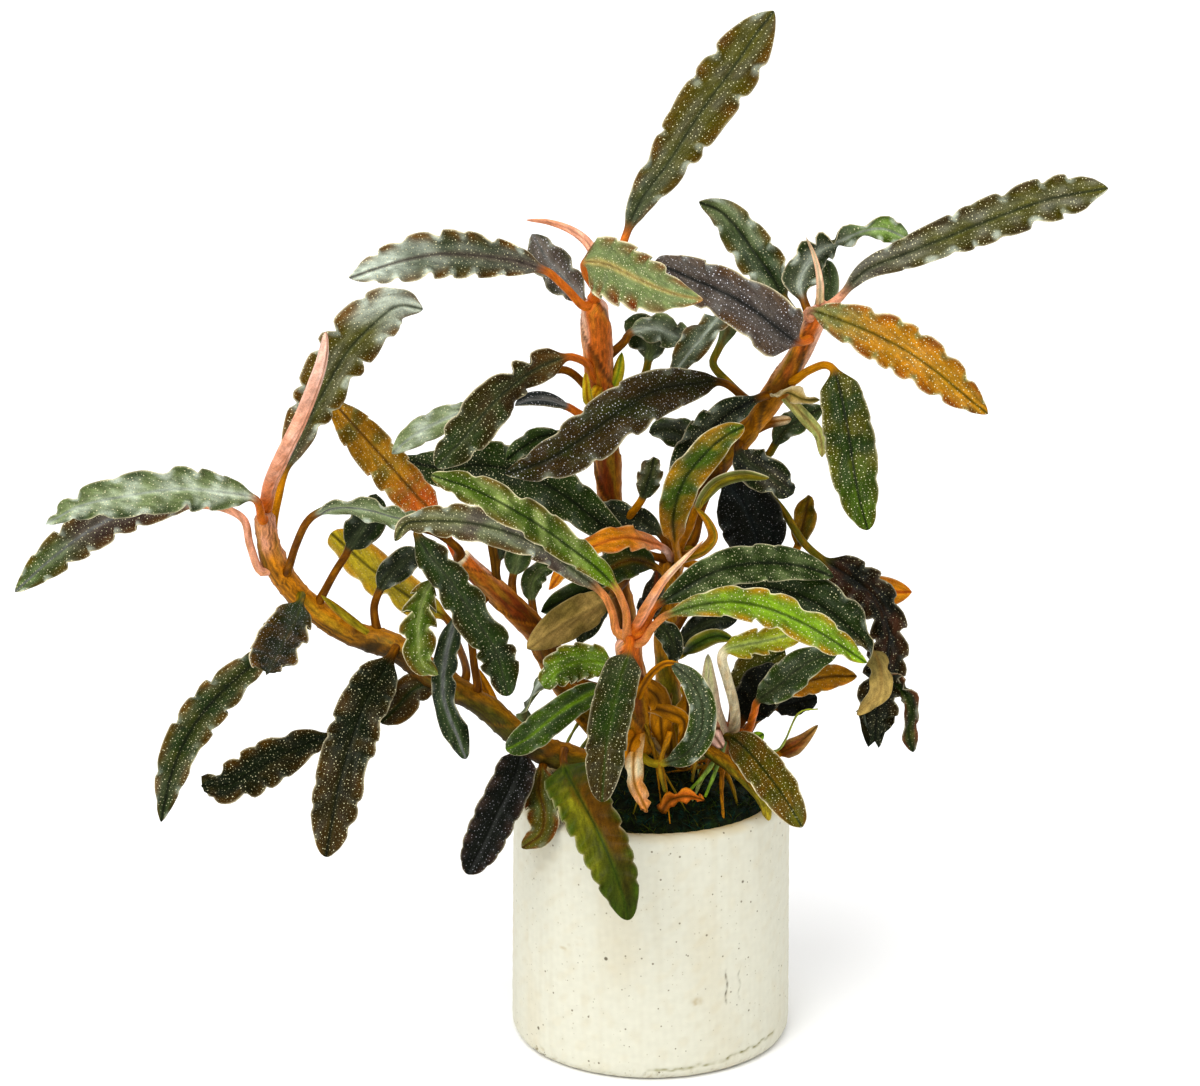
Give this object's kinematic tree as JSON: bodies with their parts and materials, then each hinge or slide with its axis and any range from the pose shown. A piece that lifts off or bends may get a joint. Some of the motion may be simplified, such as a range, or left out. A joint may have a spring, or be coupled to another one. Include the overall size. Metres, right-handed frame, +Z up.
{
  "type": "potted bucephalandra biblis",
  "caption": "Small aquarium plant with wavy, dotted, dark green to amber leaves on creeping orange stems, in a pale ceramic pot.",
  "frame": {"origin": "centre of the pot's flat underside", "axes": "+Z up along the pot's axis, +X to the right and -Y towards a viewer who faces the plant's front"},
  "size_m": [0.2052, 0.0799, 0.1978],
  "materials": {
    "ceramic": "matt cream with fine dark specks",
    "medium": "dark wet wool with moss",
    "stem": "orange to golden bark, satin",
    "root": "golden, furry",
    "leaf_green": "glossy, dotted, brown wave crests",
    "leaf_dark": "glossy, dotted, near black",
    "leaf_amber": "glossy, dotted, orange",
    "leaf_young": "salmon pink, still rolled"
  },
  "bodies": {
    "root": {"back_leaf_1": "leaf_green", "cut_stem": "stem", "front_crown": "stem", "front_leaf_1": "leaf_green", "front_leaf_2": "leaf_green", "front_leaf_3": "leaf_green", "front_leaf_4": "leaf_green", "front_leaf_5": "leaf_green", "front_leaf_6": "leaf_green", "front_leaf_7": "leaf_green", "front_leaf_8": "leaf_green", "front_young_leaf": "leaf_young", "growing_medium": "medium", "left_leaf_1": "leaf_green", "left_leaf_2": "leaf_green", "left_leaf_3": "leaf_green", "left_leaf_4": "leaf_green", "left_leaf_5": "leaf_green", "left_leaf_6": "leaf_dark", "left_leaf_7": "leaf_green", "left_leaf_8": "leaf_dark", "left_leaf_9": "leaf_dark", "left_rhizome": "stem", "left_young_leaf": "leaf_young", "low_leaf_1": "leaf_dark", "low_leaf_2": "leaf_green", "low_leaf_3": "leaf_green", "low_leaf_4": "leaf_green", "low_leaf_5": "leaf_green", "lower_left_leaf_1": "leaf_dark", "lower_left_leaf_2": "leaf_green", "lower_left_leaf_3": "leaf_dark", "middle_leaf_1": "leaf_amber", "middle_leaf_2": "leaf_green", "middle_leaf_3": "leaf_green", "middle_leaf_4": "leaf_dark", "pot": "ceramic", "right_crown": "stem", "right_leaf_1": "leaf_dark", "right_leaf_10": "leaf_green", "right_leaf_11": "leaf_green", "right_leaf_12": "leaf_green", "right_leaf_2": "leaf_green", "right_leaf_3": "leaf_green", "right_leaf_4": "leaf_amber", "right_leaf_5": "leaf_dark", "right_leaf_6": "leaf_dark", "right_leaf_7": "leaf_green", "right_leaf_8": "leaf_amber", "right_leaf_9": "leaf_green", "right_stem": "stem", "roots": "root", "top_leaf_1": "leaf_green", "top_leaf_2": "leaf_green", "top_leaf_3": "leaf_green", "top_leaf_4": "leaf_dark", "top_leaf_5": "leaf_dark", "top_leaf_6": "leaf_dark", "top_leaf_7": "leaf_dark", "top_stem": "stem"}
  },
  "joints": []
}
